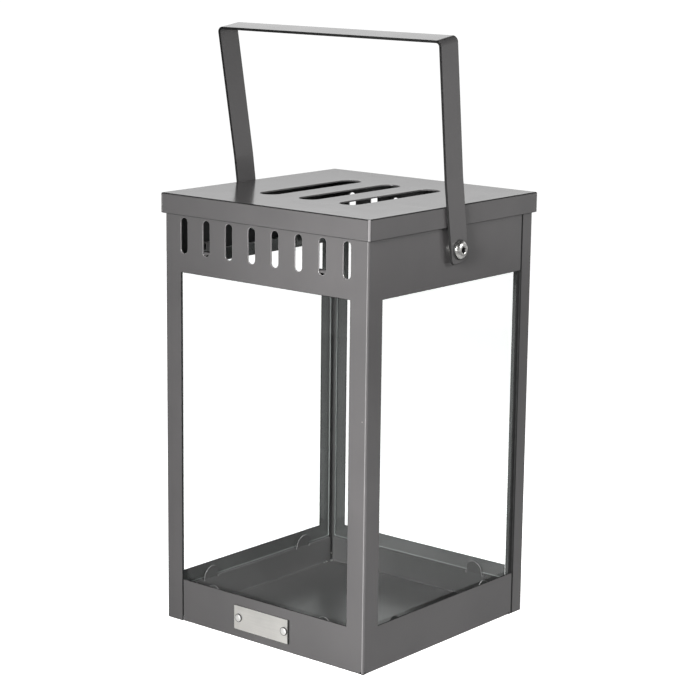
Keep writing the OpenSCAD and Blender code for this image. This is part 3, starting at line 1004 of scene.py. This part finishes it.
def coat_material(name, share=1.0, roughness=COAT_ROUGH, specular=COAT_SPECULAR, shaded_under_lid=False, painted_side_light=False):
    """Graphite powder coat with a faint orange peel and a few dust nibs.

    The shells' inside turns near black towards the top, a painted shade under the lid. The tray's coat is
    lighter by its left wall and darker elsewhere, a painted light and shade."""
    n = Surface(name)
    cloud = n.mapped(n.noise(18, 3), *NOISE_SPAN, 0.0, 1.0)
    colour = n.mixed(cloud, times(COAT_DARK, share), times(COAT_LIGHT, share))
    nibs = n.specks(220, 0.12, 0.01)
    colour = n.mixed(n.math("MULTIPLY", nibs, 0.5), colour, NIB)
    rough = n.mapped(n.noise(55, 3), *NOISE_SPAN, roughness - 0.015, roughness + 0.015)
    # Painted light by the tray's left wall, painted shade towards the right
    if painted_side_light:
        colour = n.mixed(n.mapped(n.axes()["X"], *TRAY_LIGHT_SPAN, 0.0, 1.0), colour, times(COAT_DARK, TRAY_REST))
    # Painted shade under the lid: near black and rougher towards the top
    if shaded_under_lid:
        height = n.math("ADD", n.axes()["Z"], n.mapped(n.noise(25, 3), 0, 1, -0.01, 0.01))
        under_lid_shade = n.mapped(height, *UNDER_LID_SHADE_LINE, 0.0, 1.0)
        colour = n.mixed(under_lid_shade, colour, UNDER_LID_SHADE)
        rough = n.math("ADD", rough, n.math("MULTIPLY", under_lid_shade, 0.5))
    peel = n.bump(n.noise(150, 2), 0.00001)
    n.set(Base_Color=colour, Roughness=rough, Normal=n.bump(nibs, 0.00003, peel),
          Specular_IOR_Level=specular)
    return n.material


def painted_shade_material():
    """Near black, painted shade: on the stepped edges in the joints between sheets, the screws' sockets,
    the lid's fold line and cut edges, the strap's cut edges, the plate's edge lines and the rivets' walls.
    """
    n = Surface("painted_shade_dark")
    n.set(Base_Color=n.mixed(n.noise(60, 3), (0.006, 0.006, 0.006), (0.014, 0.014, 0.014)),
          Roughness=n.mapped(n.noise(200, 2), *NOISE_SPAN, 0.6, 0.8), Specular_IOR_Level=0.2)
    return n.material


def brushed_material(name, colour, rough, along, tarnish, metal=1.0):
    """Bright metal with fine brush lines. along is the mapping scale, small on the lines' own axis."""
    n = Surface(name)
    lines = n.noise(1, 4, 0.65, n.stretched(along))
    cloud = n.noise(90, 3)
    tone = n.mapped(n.math("ADD", n.math("MULTIPLY", lines, 0.6), n.math("MULTIPLY", cloud, 0.4)),
                    0.35, 0.65, 0.0, 1.0)
    n.set(Base_Color=n.mixed(tone, times(colour, tarnish), colour), Metallic=metal,
          Roughness=n.mapped(lines, *NOISE_SPAN, rough - 0.06, rough + 0.08),
          Normal=n.bump(lines, 0.00001))
    return n.material


def mottled_material(name, scale, dark, light, smooth, rough):
    """Fine-grained surface between two colours and two roughnesses, for nylon and for ground glass."""
    n = Surface(name)
    grain = n.noise(scale, 2)
    n.set(Base_Color=n.mixed(grain, dark, light), Normal=n.bump(grain, 0.00002),
          Roughness=n.mapped(grain, *NOISE_SPAN, smooth, rough))
    return n.material


def glass_material():
    """Clear glass with a faint film and a few specks of dust. Lamps shine straight through it."""
    n = Surface("clear_float_glass")
    film = n.mapped(n.noise(30, 4), 0.45, 0.75, 0.0, 1.0)
    dust = n.specks(120, 0.05, 0.02)
    n.set(Base_Color=n.mixed(film, (0.985, 0.995, 0.99), (0.975, 0.985, 0.98)),
          Roughness=n.math("MULTIPLY", dust, 0.5), IOR=1.4, Specular_IOR_Level=0.06,
          Transmission_Weight=1.0)
    through = n.add("ShaderNodeBsdfTransparent")
    n.put((0.97, 0.985, 0.98, 1), through.inputs["Color"])
    shadow = n.add("ShaderNodeLightPath").outputs["Is Shadow Ray"]
    mix = n.add("ShaderNodeMixShader")
    n.put(n.math("MAXIMUM", shadow, n.bounced()), mix.inputs["Fac"])
    n.put(n.shader.outputs["BSDF"], mix.inputs[1])
    n.put(through.outputs["BSDF"], mix.inputs[2])
    n.put(mix.outputs["Shader"], n.tree.nodes["Material Output"].inputs["Surface"])
    return n.material


# ---- Stage ----

TABLE_RINGS = (0.3, 0.6, 1.0, 1.6)
# What the camera sees of the table and past it, which is near white
TABLE_WHITE = 0.85
BEYOND_WHITE = 1.05
TABLE_SEEN = (0.87, 0.87, 0.87)
# What lights the lantern and shows in its coat: the table, the floor past it, and a dim room
TABLE_BOUNCE = (0.4, 0.4, 0.4)
TABLE_GLOW = 0.06
BELOW = 0.66
WALLS = 0.2
WALL_TOP = 0.45
CEILING = 0.05
HORIZON_FADE = 0.02
CEILING_FADE = 0.15
# A bright backdrop stands behind the lantern to the left, and is darker at its foot
BACKDROP = 1.46
BACKDROP_FOOT = 0.12
BACKDROP_SIDE = (-0.64, 0.77, 0)
BACKDROP_RISE = (0.05, 0.2)
BACKDROP_EDGE = (0.2, 0.8)
# Name, azimuth, elevation, distance, size, radiance, spread and the point it looks at
LAMPS = [
    ("key_box", 10, 20, 0.85, 0.31, 6.6, 54, (0.14, -0.09, 0.165)),
    ("fill_box", 112, 24, 0.8, 0.2, 19.5, 180, (0, 0, 0.17)),
    ("left_box", -100, 12, 2.0, 1.2, 2.2, 180, (0, 0, 0.2)),
]


def direction(azimuth, elevation):
    """Unit vector from the lantern, with azimuth 0 in front of it and elevation up, in degrees."""
    a, e = math.radians(azimuth), math.radians(elevation)
    return Vector((math.sin(a) * math.cos(e), -math.cos(a) * math.cos(e), math.sin(e)))


def aimed(name, data, target, back, distance, roll=0.0):
    """Camera or lamp that looks at the target from the direction back."""
    item = bpy.data.objects.new(name, data)
    item.rotation_mode = "QUATERNION"
    turn = Matrix.Rotation(math.radians(roll), 4, "Z").to_quaternion()
    item.rotation_quaternion = (-back).to_track_quat("-Z", "Y") @ turn
    item.location = Vector(target) + back * distance
    bpy.context.scene.collection.objects.link(item)
    return item


def make_camera():
    """Camera at the photograph's angle, aimed at a point near the middle of the body."""
    data = bpy.data.cameras.new("camera")
    data.sensor_width = 36.0
    data.lens = 110.03
    data.clip_start, data.clip_end = 0.05, 60.0
    back = direction(39.672, 11.942)
    bpy.context.scene.camera = aimed("camera", data, (0.0008, -0.0019, 0.1946), back, 1.4849, 0.677)


def make_floor():
    """Plain pale table, round and wide. It looks white to the camera but for the lantern's shadow."""
    bm = bmesh.new()
    count = 96
    turn = 2 * math.pi / count
    before = [bm.verts.new((0, 0, 0))]
    for r in TABLE_RINGS:
        ring = [bm.verts.new((r * math.cos(turn * i), r * math.sin(turn * i), 0)) for i in range(count)]
        for i in range(count):
            j = (i + 1) % count
            inner = before if len(before) == 1 else [before[j], before[i]]
            bm.faces.new((*inner, ring[i], ring[j]))
        before = ring
    mesh = bpy.data.meshes.new("floor")
    bm.to_mesh(mesh)
    bm.free()
    n = Surface("pale_floor")
    n.set(Base_Color=n.mixed(n.bounced(), TABLE_SEEN, TABLE_BOUNCE),
          Roughness=n.mapped(n.noise(4, 3), *NOISE_SPAN, 0.85, 0.95),
          Specular_IOR_Level=0.1, Emission_Color=(1, 1, 1, 1),
          Emission_Strength=n.mapped(n.bounced(), 0, 1, TABLE_WHITE, TABLE_GLOW))
    mesh.materials.append(n.material)
    floor = bpy.data.objects.new("floor", mesh)
    bpy.context.scene.collection.objects.link(floor)


def soft_box(name, azimuth, elevation, distance, size, radiance, spread, target):
    """Square lamp, seen only by what it lights. A small spread is a grid's."""
    data = bpy.data.lights.new(name, "AREA")
    data.shape = "SQUARE"
    data.size = size
    data.energy = radiance * 4 * size * size
    data.spread = math.radians(spread)
    lamp = aimed(name, data, target, direction(azimuth, elevation), distance)
    lamp.visible_camera = False


def make_light():
    """Dim room with a bright backdrop, soft boxes, and white wherever the camera looks past the table."""
    world = bpy.data.worlds.new("studio")
    bpy.context.scene.world = world
    world.use_nodes = True
    n = Nodes(world.node_tree, "Generated")
    up = n.axes()["Z"]
    toward = n.add("ShaderNodeVectorMath", operation="DOT_PRODUCT")
    n.put(n.place, toward.inputs[0])
    n.put(BACKDROP_SIDE, toward.inputs[1])
    backdrop = n.mapped(up, *BACKDROP_RISE, BACKDROP_FOOT, BACKDROP, "SMOOTHSTEP")
    walls = n.mapped(toward.outputs["Value"], *BACKDROP_EDGE, WALLS, backdrop, "SMOOTHSTEP")
    sides = n.mapped(up, -HORIZON_FADE, HORIZON_FADE, BELOW, walls, "SMOOTHSTEP")
    light = n.mapped(up, WALL_TOP - CEILING_FADE, WALL_TOP + CEILING_FADE, sides, CEILING, "SMOOTHSTEP")
    background = n.tree.nodes["Background"]
    n.put(n.mapped(n.bounced(), 0, 1, BEYOND_WHITE, light), background.inputs["Strength"])
    n.put((1, 1, 1, 1), background.inputs["Color"])
    for lamp in LAMPS:
        soft_box(*lamp)
    bpy.context.scene.view_settings.view_transform = "Standard"


# ---- The scene ----

make_camera()
make_floor()
make_light()

COAT = coat_material("graphite_coat")
COAT_INSIDE_SHADED = coat_material("graphite_coat_inside_shaded", SHELL_INSIDE, INSIDE_ROUGH, shaded_under_lid=True)
TRAY_COAT = coat_material("tray_coat", TRAY_LEFT, INSIDE_ROUGH, TRAY_SPECULAR, painted_side_light=True)
COAT_HIGHLIGHT = coat_material("graphite_coat_painted_highlight", HIGHLIGHT_SHARE)
PAINTED_SHADE = painted_shade_material()
ZINC = brushed_material("zinc_plate", (0.42, 0.42, 0.405), 0.36, (900, 900, 900), 0.75)
SCREW_STEEL = brushed_material("stainless_screw", (0.72, 0.71, 0.69), 0.24, (300, 2000, 2000), 0.85)
PLATE_STEEL = brushed_material("brushed_plate", (0.8, 0.785, 0.75), 0.38, (60, 60, 4000), 0.86, 0.86)
RIVET_STEEL = brushed_material("bright_rivet", (0.93, 0.92, 0.9), 0.36, (900, 900, 900), 0.95, 0.86)
NYLON = mottled_material("black_nylon", 700, (0.012, 0.012, 0.012), (0.03, 0.03, 0.03), 0.4, 0.55)
GLASS = glass_material()
GROUND_GLASS = mottled_material("ground_glass_edge", 900, (0.14, 0.147, 0.145), (0.21, 0.217, 0.215),
                                0.45, 0.6)

make_shell("front_shell_sheet", COAT, 0, "front_shell", True)
make_shell("rear_shell_sheet", COAT, 2, "rear_shell", False)
make_tray(TRAY_COAT)
make_tray_welds(ZINC)
for turns, side in enumerate(("front", "right", "rear", "left")):
    make_pane(f"{side}_pane", GLASS, turns, f"{side}_glass")
    make_clips(f"{side}_clips", COAT, turns, f"{side}_glass_clips")
make_lid(COAT)
make_handle(COAT)
make_pivots(ZINC, SCREW_STEEL, NYLON)
make_plate(PLATE_STEEL)
for side, sign in (("left", -1), ("right", 1)):
    make_rivet(side, sign, RIVET_STEEL)
